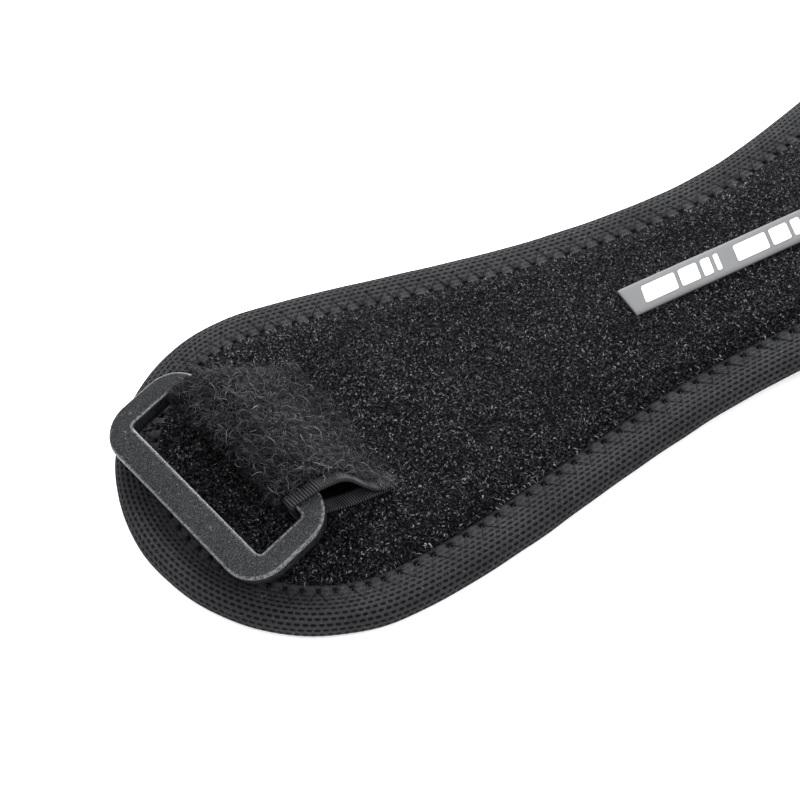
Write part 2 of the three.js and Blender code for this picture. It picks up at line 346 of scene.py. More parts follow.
# %% Yarn between the slots
STRAND_TURN = 37.7  # six twists of the yarn to a slot
lean = calc(KNIT, "MULTIPLY", calc(KNIT, "ABSOLUTE", in_row), 2.4)
twist = calc(KNIT, "MULTIPLY", calc(KNIT, "ADD", column, lean), STRAND_TURN)
strand = calc(KNIT, "MULTIPLY_ADD", calc(KNIT, "SINE", twist), 0.5, 0.5)
cord = calc(KNIT, "COSINE", calc(KNIT, "MULTIPLY", in_row, FULL_TURN))
height = calc(KNIT, "MULTIPLY_ADD", strand, 0.25, calc(KNIT, "MULTIPLY", cord, -0.25))
KNIT.links.new(slot, made["Slot"])
KNIT.links.new(calc(KNIT, "SUBTRACT", height, slot), made["Height"])
KNIT.links.new(strand, made["Yarn"])
print("group", KNIT.name)

# %% [markdown]
# ### Fine weave
# The strip, the hook tape, the knitted back and the tape's woven edges are close cloth without
# holes. One group crosses two sets of threads and says which one is on top.

# %% Fine weave group
WEAVE, given, made = start_group("Fine weave", [
    ("Along and Across", VECTOR, None), ("Pitch Along", FLOAT, 0.3), ("Pitch Across", FLOAT, 0.3),
    ("Crossing", FLOAT, 0.5),
], [("Height", FLOAT), ("Thread", FLOAT)])
along, across, _ = split(WEAVE, given["Along and Across"])
bend = calc(WEAVE, "MULTIPLY", noise(WEAVE, given["Along and Across"], 1.4, 2.0), 1.2)
warp, weft = (
    calc(WEAVE, "SINE", calc(
        WEAVE, "MULTIPLY_ADD", calc(WEAVE, "DIVIDE", run, given[pitch]), FULL_TURN, bend,
    )) for run, pitch in ((along, "Pitch Along"), (across, "Pitch Across"))
)
ridge = calc(WEAVE, "MULTIPLY_ADD", warp, 0.5, 0.5)
over = calc(WEAVE, "MULTIPLY", warp, weft)
WEAVE.links.new(calc(WEAVE, "MULTIPLY_ADD", over, given["Crossing"], ridge), made["Height"])
WEAVE.links.new(ridge, made["Thread"])
print("group", WEAVE.name)


# %% [markdown]
# ## Finishes
# Each finish is a Principled shader whose colour, roughness and height come from the groups. The
# standing fibres of cloth swallow light, so it is rough and mirrors almost nothing. The moulded
# ring is a half-matt plastic.

# %% Start a finish
def place_group(tree, group, **values):
    node = tree.nodes.new("ShaderNodeGroup")
    node.node_tree = group
    for label, value in values.items():
        feed(tree, value, node.inputs[label.replace("_", " ")])
    return node.outputs


def principled(finish):
    return finish.node_tree.nodes["Principled BSDF"].inputs


def start_finish(name, roughness, specular):
    finish = bpy.data.materials.new(name)
    finish.use_nodes = True
    principled(finish)["Roughness"].default_value = roughness
    principled(finish)["Specular IOR Level"].default_value = specular
    return finish, finish.node_tree


def read_attribute(tree, name, socket="Vector"):
    node = tree.nodes.new("ShaderNodeAttribute")
    node.attribute_name = name
    return node.outputs[socket]


def lay_surface(finish, color, lint, rough, bump=None):
    """Colour with lint over it, a roughness that follows a mask, and a bump.

    lint is (unevenness, blotch scale, lint, lint scale), rough is what remap takes, and bump is
    (height, distance in metres).
    """
    tree, shader = finish.node_tree, principled(finish)
    lint = dict(zip(("Unevenness", "Blotch_Scale", "Lint", "Lint_Scale"), lint))
    feed(tree, place_group(tree, LINT, Color=color, **lint)["Color"], shader["Base Color"])
    feed(tree, remap(tree, *rough), shader["Roughness"])
    if bump:
        node = tree.nodes.new("ShaderNodeBump")
        node.inputs["Distance"].default_value = bump[1]
        tree.links.new(bump[0], node.inputs["Height"])
        tree.links.new(node.outputs[0], shader["Normal"])
    return finish


# %% Binding tape
def binding_finish():
    finish, tree = start_finish("knitted binding", 0.72, specular=0.1)
    at = read_attribute(tree, "tape_mm")
    knit = place_group(
        tree, KNIT, Along_and_Across=at, Pitch_Along=SLOT_PITCH, Pitch_Across=ROW_PITCH,
        Slot_Length=0.47, Slot_Width=0.21,
        Opening=remap(tree, split(tree, at)[1], 0.8, 3.4, 0.35, 1.0),
    )
    yarn = blend_colors(tree, knit["Yarn"], (0.009, 0.0092, 0.010), (0.058, 0.059, 0.063))
    # The slots are painted near black: painted shade in the knit's openings.
    tone = blend_colors(tree, knit["Slot"], yarn, (0.0025, 0.0025, 0.003))
    # The needle holes are painted darker still: painted shade in the holes.
    needle = remap(tree, read_attribute(tree, "needle", "Fac"), 0.3, 0.55)
    tone = blend_colors(tree, needle, tone, (0.0008, 0.0008, 0.0008))
    return lay_surface(
        finish, tone, lint=(0.18, 120.0, 0.25, 2400.0),
        rough=(knit["Yarn"], 0.0, 1.0, 0.82, 0.62), bump=(knit["Height"], 0.00022),
    )


# %% Pile, ground and thread
def strand_finish(name, dark, light, roughness, specular=0.06):
    finish, tree = start_finish(name, roughness, specular)
    tone = read_attribute(tree, "tone", "Fac")
    return lay_surface(
        finish, blend_colors(tree, tone, dark, light), lint=(0.25, 60.0, 0.1, 1500.0),
        rough=(tone, 0.0, 1.0, roughness + 0.1, roughness - 0.08),
    )


def ground_finish():
    finish, tree = start_finish("brushed face", 0.9, specular=0.03)
    curls = noise(tree, object_place(tree), 2300.0, 3.0, 0.7)
    deep, tips = (0.0006, 0.0006, 0.0008), (0.018, 0.018, 0.020)
    return lay_surface(
        finish, blend_colors(tree, remap(tree, curls, 0.48, 0.66), deep, tips),
        lint=(0.3, 70.0, 0.15, 1900.0), rough=(curls, 0.3, 0.8, 0.95, 0.75), bump=(curls, 0.0004),
    )


# %% Close cloth
def cloth_finish(
    name, dark, light, roughness, specular, mapping, pitches, crossing, lint, depth,
    mask="Thread", softer=0.08, harder=0.05, bare=None,
):
    """Woven or knitted cloth. bare is (from, to, colour): nearer the middle, it has that colour."""
    finish, tree = start_finish(name, roughness, specular)
    at = read_attribute(tree, mapping)
    weave = place_group(
        tree, WEAVE, Along_and_Across=at, Pitch_Along=pitches[0], Pitch_Across=pitches[1],
        Crossing=crossing,
    )
    color = blend_colors(tree, weave["Thread"], dark, light)
    if bare:
        selvedge = remap(tree, calc(tree, "ABSOLUTE", split(tree, at)[1]), bare[0], bare[1])
        color = blend_colors(tree, selvedge, bare[2], color)
    return lay_surface(
        finish, color, lint,
        rough=(weave[mask], 0.0, 1.0, roughness + softer, roughness - harder),
        bump=(weave["Height"], depth),
    )


# %% [markdown]
# ## The binding
# A knitted tape 17 mm wide is folded over the foam's edge and sewn down on both sides. A bevelled
# edge would be smooth, so the tape is a grid of its own, with a column every 0.3 mm. Each row of
# slots has two rows of points on the face and round the edge, and one underneath. The slots and the
# needle holes are pushed in, and between two needle holes the tape's inner edge bulges out.

# %% Section of the folded tape
SLOT_COUNT = 2 * round(EDGE_LENGTH / 1.2 / 2)
SLOT_PITCH = EDGE_LENGTH / SLOT_COUNT
FLAT_RUN = BINDING_WIDTH - EDGE_HEIGHT / 2
ROLL_RUN = math.pi * EDGE_HEIGHT / 2
SECTION_RUN = 2 * FLAT_RUN + ROLL_RUN
ROW_COUNT, FINE_ROWS = 21, 12
ROW_PITCH = SECTION_RUN / ROW_COUNT
STITCH_COUNT = round(EDGE_LENGTH / 3.1)
STITCH_PITCH = EDGE_LENGTH / STITCH_COUNT
INNER_STITCH, OUTER_STITCH = 0.95, 3.2
INNER_HOLE, OUTER_HOLE = 0.62, 0.36


def soft_waves(u, lengths, size):
    phases = np.random.default_rng(11).uniform(0, 6.28, len(lengths))
    waves = sum(np.sin(2 * np.pi * u / length + p) for length, p in zip(lengths, phases))
    return size * waves / len(lengths)


def tape_section(u, v):
    """Inset and height of the tape's outer side at the distances v from its upper inner edge."""
    middle = EDGE_HEIGHT / 2
    angle = np.clip((v - FLAT_RUN) / middle, 0, np.pi)
    uneven = soft_waves(u, [EDGE_LENGTH / count for count in (23, 37, 61, 89)], 0.10)
    radius = middle + (0.12 * np.sin(angle) ** 2 + uneven * np.sin(angle))
    below = np.clip(v - FLAT_RUN - ROLL_RUN, 0, None)
    inset = np.where(v < FLAT_RUN, BINDING_WIDTH - v, middle - radius * np.sin(angle) + below)
    pressed = 0.36 * ease((3.9 - v) / 2.2) - 0.10 * np.exp(-((v - 4.6) / 0.8) ** 2)
    height = np.where(v < FLAT_RUN, EDGE_HEIGHT - pressed, middle + middle * np.cos(angle))
    height = height + 0.08 * ease((v - SECTION_RUN + 3.2) / 2)
    return inset, np.clip(height, 0.03, None)


def needle_holes(u, v):
    """How deep each point lies in a needle hole: wide pits by the pile, small holes outside."""
    depth = np.zeros(np.broadcast(u, v).shape)
    for start, line, reach, most in (
        (0, INNER_STITCH, INNER_HOLE, 1.0), (STITCH_PITCH / 2, OUTER_STITCH, OUTER_HOLE, 0.5),
    ):
        du = (u - start + STITCH_PITCH / 2) % STITCH_PITCH - STITCH_PITCH / 2
        for across in (v, SECTION_RUN - v):
            gap = (du / reach) ** 2 + ((across - line) / reach) ** 2
            depth = np.maximum(depth, most * np.exp(-gap))
    return depth


print("slots", SLOT_COUNT, "stitches", STITCH_COUNT, "tape", round(SECTION_RUN, 1), "mm")

# %% Lay the tape round the edge
SLOT_DEPTH, CORD_RISE, HOLE_DEPTH, SCALLOP = 0.15, 0.05, 0.8, 0.26
u = np.linspace(0, EDGE_LENGTH, 4 * SLOT_COUNT + 1)
fine = np.arange(1, 2 * FINE_ROWS) * ROW_PITCH / 2
coarse = np.arange(FINE_ROWS + 1, ROW_COUNT) * ROW_PITCH
v = np.concatenate([[-0.9, -0.35, 0.05], fine, coarse, [SECTION_RUN]])
U, V = np.meshgrid(u, v, indexing="ij")
inset, height = tape_section(U, np.clip(V, 0, None))
scallop = SCALLOP * np.cos(2 * np.pi * U / STITCH_PITCH) * ease(1 - V / 1.5)
inset = inset + 0.10 * (V < 0.01) - scallop
height = height + np.clip(V, -1, 0)
column = U / SLOT_PITCH + 0.5 * (np.floor(V / ROW_PITCH) % 2)
in_slot = 0.5 - 0.5 * np.cos(2 * np.pi * column)
in_row = 0.5 - 0.5 * np.cos(2 * np.pi * V / ROW_PITCH)
open_share = 0.35 + 0.65 * ease((V - 0.8) / 2.6)
open_share = open_share * ease((V - 0.3) / 0.4) * (V < SECTION_RUN - 0.3)
needle = needle_holes(U, V)
push = (SLOT_DEPTH * in_slot * in_row - CORD_RISE * (1 - in_row)) * open_share
push = push + HOLE_DEPTH * needle
angle = np.clip((V - FLAT_RUN) / (EDGE_HEIGHT / 2), 0, np.pi)
inset = inset + push * np.sin(angle)
height = np.clip(height - push * np.cos(angle), 0.02, None)
binding = add_piece(
    "binding", inset_points(U, inset, height), grid_faces(len(u), len(v))[:, ::-1],
    binding_finish(),
)
write_attribute(binding, "tape_mm", np.stack([U, V, 0 * U], axis=-1).reshape(-1, 3))
write_attribute(binding, "needle", needle.ravel())

# %% [markdown]
# ## The foam panel
# The panel is a foam sheet with a brushed face and a knitted back. Its face swells up inside the
# binding, because the stitches pull the edge down. A cushion simulation would round it too much for
# foam 5 mm thick, so its section is drawn, and broad soft waves break the evenness.

# %% Height of the face
FACE_STEP = BINDING_WIDTH + 0.3
SEAM_AT, SEAM_REACH, SEAM_DEEP = 40.5, 4.0, 0.5


def face_height(x, y, depth):
    rise = 0.1 + 0.9 * np.sin(0.5 * np.pi * np.clip((depth - FACE_STEP + 0.2) / 3.6, 0, 1))
    crown = 0.22 * ease((depth - 9) / 12)
    waves = soft_waves(x + 0.35 * y, [41, 27, 17.3], 0.10)
    waves = waves + soft_waves(y - 0.2 * x, [23, 14.1], 0.07)
    seam_pull = SEAM_DEEP * np.exp(-((x - SEAM_AT + 0.15 * y) / SEAM_REACH) ** 2)
    waves = (waves - seam_pull * ease((20 - np.abs(y)) / 8)) * ease((depth - 7.5) / 5)
    share = swell(x)
    return EDGE_HEIGHT - 0.25 * share + share * (1.25 * rise + crown + waves)


def depth_of(x, y, towards=False):
    """Distance of each point from the band's edge, and the direction to the edge if asked for."""
    line = np.stack([edge_x[::6], edge_y[::6]], axis=-1)
    points = np.stack([x, y], axis=-1)
    aim = np.empty((len(x), 2))
    for first in range(0, len(x), 4000):
        part = points[first:first + 4000]
        gap = ((part[:, None, :] - line[None, :, :]) ** 2).sum(axis=-1)
        aim[first:first + 4000] = line[gap.argmin(axis=1)] - part
    depth = np.sqrt((aim ** 2).sum(axis=1))
    return (depth, aim / depth[:, None]) if towards else depth


# %% Rows of the panel
HALF_COUNT = 330
PANEL_COUNT = 2 * HALF_COUNT
UPPER_INSETS = [10.9, 10.2, 9.5, 8.9, 8.4, 8.0, 7.7, 7.45, 7.2, 6.9]
LOWER_INSETS = [6.9, 7.3, 7.6, 8.2, 10.0]
BACK_HEIGHT = 0.33
at = np.arange(PANEL_COUNT) * EDGE_LENGTH / PANEL_COUNT
points = []
for inset in UPPER_INSETS:
    row = inset_points(at, inset, 0)
    row[:, 2] += face_height(row[:, 0], row[:, 1], np.full(PANEL_COUNT, inset))
    points += row.tolist()
for inset in LOWER_INSETS:
    height = BACK_HEIGHT + 0.62 * ease((7.8 - inset) / 0.8)
    points += inset_points(at, inset, height).tolist()
side_faces = grid_faces(len(UPPER_INSETS + LOWER_INSETS), PANEL_COUNT, wrap_columns=True)
print("panel rows", len(UPPER_INSETS + LOWER_INSETS), "of", PANEL_COUNT, "points")


# %% Close the face and the back
def cap(row, height_at, across=22):
    """Faces over one row of the panel, in strips that cross the band."""
    first = row * PANEL_COUNT
    ring = np.array(points[first:first + PANEL_COUNT])
    t = (np.arange(1, across) / across)[None, :, None]
    new = ring[1:HALF_COUNT, None] * (1 - t) + ring[:HALF_COUNT:-1, None] * t
    new = new.reshape(-1, 3)
    new[:, 2] = height_at(new[:, 0], new[:, 1]) + lift(new[:, 0])
    index = np.repeat(first + np.arange(HALF_COUNT + 1)[:, None], across + 1, axis=1)
    index[1:, across] = first + PANEL_COUNT - np.arange(1, HALF_COUNT + 1)
    index[1:-1, 1:across] = len(points) + np.arange(len(new)).reshape(HALF_COUNT - 1, -1)
    points.extend(new.tolist())
    quads = np.stack([index[:-1, :-1], index[1:, :-1], index[1:, 1:], index[:-1, 1:]], axis=-1)
    made = [list(dict.fromkeys(face)) for face in quads.reshape(-1, 4).tolist()]
    return [face for face in made if len(face) > 2]


def crown_height(x, y):
    return face_height(x, y, np.maximum(depth_of(x, y), UPPER_INSETS[0]))


top_faces = cap(0, crown_height)
back_faces = cap(len(UPPER_INSETS + LOWER_INSETS) - 1, lambda x, y: BACK_HEIGHT)
back_faces = [face[::-1] for face in back_faces]
back_finish = cloth_finish(
    "knitted back", (0.003, 0.003, 0.0035), (0.015, 0.015, 0.017), 0.85, 0.15, "plan_mm",
    (0.9, 0.7), 0.8, (0.2, 60.0, 0.2, 1800.0), 0.00015, softer=0.05, harder=0.1,
)
panel = add_piece(
    "panel_body", points, side_faces[:, ::-1].tolist() + top_faces + back_faces,
    ground_finish(), back_finish,
)
is_back = np.zeros(len(panel.data.polygons), dtype=np.int32)
is_back[(len(UPPER_INSETS) + 1) * PANEL_COUNT:len(side_faces)] = 1
is_back[-len(back_faces):] = 1
panel.data.polygons.foreach_set("material_index", is_back)
write_attribute(panel, "plan_mm", centred(points) * [1, 1, 0])

# %% [markdown]
# ## Pile
# Loops of yarn well under a millimetre long make the face black and sparkling at once. A hair system
# is lost when the part is exported, so each strand is a narrow ribbon of real faces. One helper
# grows all of them: a strand starts on the surface, climbs, bends over and curls.

# %% Grow strands
ACROSS_NAP = [0.36, 0.93, 0.0]  # no part of the surface faces this way
TIP_SHARE = 0.45


def level_axes(normals):
    """Two directions along the surface at each normal."""
    side = np.cross(normals, ACROSS_NAP)
    side /= np.linalg.norm(side, axis=1, keepdims=True)
    return side, np.cross(normals, side)


def grow(name, roots, normals, lengths, climb, curl, half, tone, finish, heading=None):
    """climb is the angle above the surface at each step, and curl how far a strand turns in all."""
    count, steps = len(roots), len(climb)
    side, front = level_axes(normals)
    heading = rng.uniform(0, 2 * np.pi, count) if heading is None else heading
    bends = rng.normal(0, curl, count)
    path, across = [roots], []
    for step, angle in enumerate(climb):
        turned = heading + bends * step / steps + rng.normal(0, 0.12, count)
        level = np.cos(turned)[:, None] * side + np.sin(turned)[:, None] * front
        tilt = angle + rng.normal(0, 0.13, count)
        move = np.cos(tilt)[:, None] * level + np.sin(tilt)[:, None] * normals
        path.append(path[-1] + move * (lengths / steps)[:, None])
        flat = np.cross(level, normals)
        across.append(flat + 0.35 * rng.normal(0, 1, count)[:, None] * normals)
    path = np.stack(path, axis=1)
    across = np.stack([across[0], *across], axis=1)
    across /= np.linalg.norm(across, axis=2, keepdims=True)
    taper = np.append(np.ones(steps), TIP_SHARE)
    spread = across * (half[:, None] * taper[None, :])[:, :, None]
    points = np.stack([path - spread, path + spread], axis=2)
    start = (np.arange(count) * 2 * (steps + 1))[:, None] + 2 * np.arange(steps)[None, :]
    quads = np.stack([start, start + 1, start + 3, start + 2], axis=-1).reshape(-1, 4)
    piece = add_piece(name, points, quads, finish)
    write_attribute(piece, "tone", np.repeat(tone, 2 * (steps + 1)))
    return piece


def mottle(a, b, size):
    """Smooth uneven values from -1 to 1 over a surface, in patches about as wide as size."""
    turns = np.random.default_rng(5).uniform(0, 2 * np.pi, (6, 2))
    waves = [
        np.sin((a * np.cos(turn) + b * np.sin(turn)) * 2 * np.pi / (size * (1 + 0.1 * k)) + phase)
        for k, (turn, phase) in enumerate(turns)
    ]
    return np.clip(sum(waves) / 2.4, -1, 1)


def slope_normals(x, y, depth, reach=0.3):
    top = face_height(x, y, depth) + lift(x)
    gx = (face_height(x + reach, y, depth_of(x + reach, y)) + lift(x + reach) - top) / reach
    gy = (face_height(x, y + reach, depth_of(x, y + reach)) - (top - lift(x))) / reach
    normals = np.stack([-gx, -gy, np.ones_like(gx)], axis=-1)
    return top, normals / np.linalg.norm(normals, axis=1, keepdims=True)


# %% Roots of the face's pile
DENSITY = 5.6
WIDEST_HALF = 37
ROOT_SINK = 0.08
wanted = int(DENSITY * STRAP_LENGTH * 2 * WIDEST_HALF)
x = rng.uniform(0, STRAP_LENGTH, wanted)
y = rng.uniform(-WIDEST_HALF, WIDEST_HALF, wanted)
near = np.abs(y) < half_width(x) - 6.5
x, y = x[near], y[near]
depth, aim = depth_of(x, y, towards=True)
inside = depth > FACE_STEP - 0.25
x, y, depth, aim = x[inside], y[inside], depth[inside], aim[inside]
top, normals = slope_normals(x, y, depth)
roots = np.stack([x, y, top - ROOT_SINK], axis=-1)
print("roots", len(roots), "per square millimetre", DENSITY)

# %% Loops on the face
# Painted light: the pile's tone rises towards the far side, which the lamp behind lights, and drops
# towards the near side.
painted_far_light = 0.03 * np.clip(y / 20, -1, 1)
tone = np.clip(rng.beta(0.45, 3.0, len(x)) + 0.04 * mottle(x, y, 2.3) + painted_far_light, 0, 1)
heading = rng.uniform(0, 2 * np.pi, len(x))
over_edge = depth < FACE_STEP + 0.5
outwards = np.arctan2(*((axis[:, :2] * aim).sum(axis=1) for axis in level_axes(normals)[::-1]))
heading[over_edge] = outwards[over_edge] + rng.normal(0, 0.5, int(over_edge.sum()))
pile_finish = strand_finish("face pile", (0.001, 0.001, 0.0012), (0.155, 0.155, 0.168), 0.5)
pile = []
for name, part in (("pile_ring_end", x < 150), ("pile_tail_end", x >= 150)):
    n = int(part.sum())
    lengths = rng.uniform(0.42, 0.85, n) * (1 + 0.4 * over_edge[part])
    half = rng.uniform(0.045, 0.07, n) + 0.07 * tone[part]
    pile.append(grow(
        name, roots[part], normals[part], lengths, [0.95, -0.45], 1.2, half, tone[part],
        pile_finish, heading[part],
    ))

# %% [markdown]
# ## The ring
# The ring is one plastic moulding with soft corners outside, nearly sharp ones inside, and a parting
# step round its outer wall. A bevel modifier would round every edge alike, so the section is a list
# of rows instead, each a rounded rectangle that grows from the outline or from the slot.

# %% Ring sizes and rows
SLOT_LONG, SLOT_WIDE = 32.2, 8.5
OUTER_BAR, INNER_BAR, SIDE_BAR = 4.8, 4.2, 3.9
RING_THICK, RING_CORNER, SLOT_CORNER = 3.0, 6.0, 0.8
SLOT_ROUND, RIM_ROUND = 0.32, 0.5
RING_TURN, RING_TILT = math.radians(16), math.radians(15.5)
RING_GAP = 0.36
SLOT_FROM_TIP, SLOT_ASIDE = 14.2, -1.8
RING_HEIGHT = (
    EDGE_HEIGHT + RING_GAP + (SLOT_WIDE / 2 + OUTER_BAR) * math.sin(RING_TILT)
    + RING_THICK * math.cos(RING_TILT)
)


def rounded_row(low, high, corner, turns=10, runs=14):
    """Points round a rectangle with round corners, as many on every row."""
    (x0, y0), (x1, y1) = low, high
    corners = [((x1 - corner, y0 + corner), -90), ((x1 - corner, y1 - corner), 0),
               ((x0 + corner, y1 - corner), 90), ((x0 + corner, y0 + corner), 180)]
    row = []
    for (cx, cy), start in corners:
        for step in range(turns + 1):
            a = math.radians(start + 90 * step / turns)
            row.append((cx + corner * math.cos(a), cy + corner * math.sin(a)))
    points = []
    for i, (px, py) in enumerate(row):
        qx, qy = row[(i + 1) % len(row)]
        last = runs if (i + 1) % (turns + 1) == 0 else 1
        points += [(px + (qx - px) * s / runs, py + (qy - py) * s / runs) for s in range(last)]
    return np.array(points)


def ring_section():
    """(outline, distance into the plastic, height) of each row, from the slot's top edge out."""
    inner = [("slot", SLOT_ROUND * (1 - math.cos(a)), -SLOT_ROUND * (1 - math.sin(a)))
             for a in np.radians(np.linspace(0, 90, 4))]
    outer = [("rim", RIM_ROUND * (1 - math.sin(a)), -RIM_ROUND * (1 - math.cos(a)))
             for a in np.radians(np.linspace(0, 90, 6))]
    top = [("slot", 0.6, 0.0), ("middle", 0.5, 0.03), ("rim", 1.3, 0.0)]
    wall = [("rim", 0.0, -1.45), ("rim", 0.05, -1.53), ("rim", 0.2, -1.6), ("rim", 0.22, -1.72),
            ("rim", 0.26, -2.6), ("rim", 0.45, -2.88), ("rim", 0.8, -3.0)]
    below = [("slot", 0.5, -3.0), ("slot", 0.15, -2.92), ("slot", 0.0, -2.7), ("slot", 0.0, -1.5)]
    return inner + top + outer + wall + below


# %% Build the ring
# The rounded edges are painted lighter: partly rubbed wear, partly painted highlight.
WEAR_AND_HIGHLIGHT = {2: 0.7, 3: 1.0, 8: 0.5, 9: 1.0, 10: 1.0, 11: 0.7}  # rows on the two rounded edges


def ring_row(where, distance):
    if where == "middle":
        return (ring_row("slot", 0.6) + ring_row("rim", 1.3)) / 2
    if where == "slot":
        high = np.array([SLOT_WIDE / 2, SLOT_LONG / 2]) + distance
        return rounded_row(-high, high, SLOT_CORNER + distance)
    low = np.array([-SLOT_WIDE / 2 - OUTER_BAR, -SLOT_LONG / 2 - SIDE_BAR]) + distance
    high = np.array([SLOT_WIDE / 2 + INNER_BAR, SLOT_LONG / 2 + SIDE_BAR]) - distance
    return rounded_row(low, high, RING_CORNER - distance)


ring_rows = []
for where, distance, z in ring_section():
    row = ring_row(where, distance)
    ring_rows.append(np.column_stack([row, np.full(len(row), z)]))
columns = len(ring_rows[0])
ring_points = np.concatenate(ring_rows)
ring_points[:, 2] += 0.02 * np.sin(ring_points[:, 1] * 0.35) * (ring_points[:, 2] > -1)
ring_place = np.array(
    Matrix.Translation((SLOT_FROM_TIP, SLOT_ASIDE, RING_HEIGHT))
    @ Matrix.Rotation(RING_TURN, 4, "Z") @ Matrix.Rotation(-RING_TILT, 4, "Y")
)
ring = add_piece(
    "ring", ring_points @ ring_place[:3, :3].T + ring_place[:3, 3],
    grid_faces(len(ring_rows), columns, wrap_rows=True, wrap_columns=True),
)
# Lighter rows for rubbed wear and painted highlight.
wear_and_highlight = [WEAR_AND_HIGHLIGHT.get(row, 0.0) for row in range(len(ring_rows))]
write_attribute(ring, "wear_and_highlight", np.repeat(wear_and_highlight, columns))


# %% Moulded plastic
def plastic_finish():
    finish, tree = start_finish("moulded plastic", 0.36, specular=0.36)
    place = object_place(tree)
    grain = noise(tree, place, 2600.0, 3.0, 0.6)
    sand = noise(tree, place, 5200.0, 1.0, 0.5)
    dark, light, scuffed_and_highlight = (0.001, 0.0011, 0.0013), (0.030, 0.031, 0.034), (0.17, 0.175, 0.18)
    color = blend_colors(tree, remap(tree, sand, 0.42, 0.68), dark, light)
    # The rounded edges take the scuffed colour: rubbed wear and painted highlight together.
    worn_and_highlight = remap(tree, grain, 0.35, 0.6)
    worn_and_highlight = calc(tree, "MULTIPLY", read_attribute(tree, "wear_and_highlight", "Fac"), worn_and_highlight)
    return lay_surface(
        finish, blend_colors(tree, calc(tree, "MULTIPLY", worn_and_highlight, 0.6), color, scuffed_and_highlight),
        lint=(0.12, 140.0, 0.2, 1600.0), rough=(grain, 0.3, 0.7, 0.28, 0.44),
        bump=(calc(tree, "ADD", grain, sand), 0.000022),
    )


ring.data.materials.append(plastic_finish())

# %% [markdown]
# ## The tape loop
# A 30 mm tape goes round the ring's inner bar and both ends are sewn to the face. Its route is drawn
# in side view as two easy curves and a wrap round the bar, as in the CAD, a little shorter and
# puffed up at the far side as the photograph has it. It is swept across with a slight twist. Its
# woven edges have ribs, which are real ridges in the mesh.

# %% Route of the tape
TAPE_WIDTH, TAPE_THICK = 30.0, 0.7
LOOP_REACH, SEAM_LENGTH = 16.2, 3.0
SEAM_BEARING, SEAM_TURN, SEAM_DROP = math.radians(2), math.radians(7.5), math.radians(25)
WRAP_START, WRAP_END = math.radians(-100), math.radians(-290)
CLEARANCE = 0.3
BAR_ASIDE = (SLOT_WIDE + INNER_BAR) / 2
BAR_REACH = BAR_ASIDE * math.cos(RING_TILT) + RING_THICK / 2 * math.sin(RING_TILT)
BAR_HEIGHT = (
    RING_HEIGHT + BAR_ASIDE * math.sin(RING_TILT) - RING_THICK / 2 * math.cos(RING_TILT)
)


def curve_between(a, b, from_angle, from_run, to_angle, to_run, steps=30):
    def heading(angle, run):
        return np.array([math.cos(angle), math.sin(angle)]) * run

    p = [a, a + heading(from_angle, from_run), b - heading(to_angle, to_run), b]
    t = np.linspace(0, 1, steps)[:, None]
    start = (1 - t) ** 3 * p[0] + 3 * (1 - t) ** 2 * t * p[1]
    return start + 3 * (1 - t) * t ** 2 * p[2] + t ** 3 * p[3]


def bar_corner(side, face, start, end):
    """The wrap round one corner of the ring's inner bar, in side view."""
    c, s = math.cos(RING_TILT), math.sin(RING_TILT)
    at = np.array([
        (side * INNER_BAR * c - face * RING_THICK * s) / 2,
        BAR_HEIGHT + (side * INNER_BAR * s + face * RING_THICK * c) / 2,
    ])
    a = np.linspace(start, end, 14)
    return at + (CLEARANCE + TAPE_THICK / 2) * np.column_stack([np.cos(a), np.sin(a)])


def tape_route():
    """Distance along the tape, reach from the bar and height, at even steps."""
    lower = EDGE_HEIGHT + FACE_SWELL + CLEARANCE + TAPE_THICK / 2
    upper = lower + TAPE_THICK
    front, over = -math.pi + RING_TILT, -1.5 * math.pi + RING_TILT
    bar = np.concatenate([
        bar_corner(-1, -1, WRAP_START, front), bar_corner(-1, 1, front, over),
        bar_corner(1, 1, over, WRAP_END),
    ])
    seam = np.array([LOOP_REACH - SEAM_LENGTH, upper])
    leaves = np.array([0.55 * LOOP_REACH, lower])
    rise = curve_between(
        leaves, bar[0], math.pi, 0.25 * LOOP_REACH, WRAP_START - math.pi / 2, 0.2 * LOOP_REACH,
    )
    fall = curve_between(
        bar[-1], seam, WRAP_END - math.pi / 2, 0.25 * LOOP_REACH, -SEAM_DROP, 0.3 * LOOP_REACH,
    )
    ends = np.array([[LOOP_REACH, lower], [LOOP_REACH - SEAM_LENGTH, lower]])
    tip = [[LOOP_REACH - 0.6, upper - 0.05]]
    line = np.concatenate([ends, rise, bar[1:], fall[1:], tip])
    steps = np.concatenate([[0], np.cumsum(np.hypot(*np.diff(line, axis=0).T))])
    smooth = np.linspace(0, steps[-1], 520)
    route = [np.interp(smooth, steps, line[:, k]) for k in (0, 1)]
    for part in route:
        part[4:-4] = np.convolve(part, np.ones(9) / 9, "valid")
    return smooth, *route


def sweep_tape(reach, across, height, over=0.0):
    """Points of the plan from the side view; over is 1 on the upper layer, which stands up."""
    loose = 0.3 + 2.3 * np.clip((across + 2) / 17, 0, 1) ** 1.6
    height = height + over * loose * np.exp(-((reach - 6.8) / 3.7) ** 2)
    turn = RING_TURN + (SEAM_TURN - RING_TURN) * np.clip(reach / LOOP_REACH, 0, 1)
    x = SLOT_FROM_TIP + BAR_REACH * math.cos(RING_TURN) + reach * math.cos(SEAM_BEARING)
    y = SLOT_ASIDE + BAR_REACH * math.sin(RING_TURN) + reach * math.sin(SEAM_BEARING)
    x, y = x + across * np.sin(turn), y - across * np.cos(turn)
    return lifted(x, y, height)


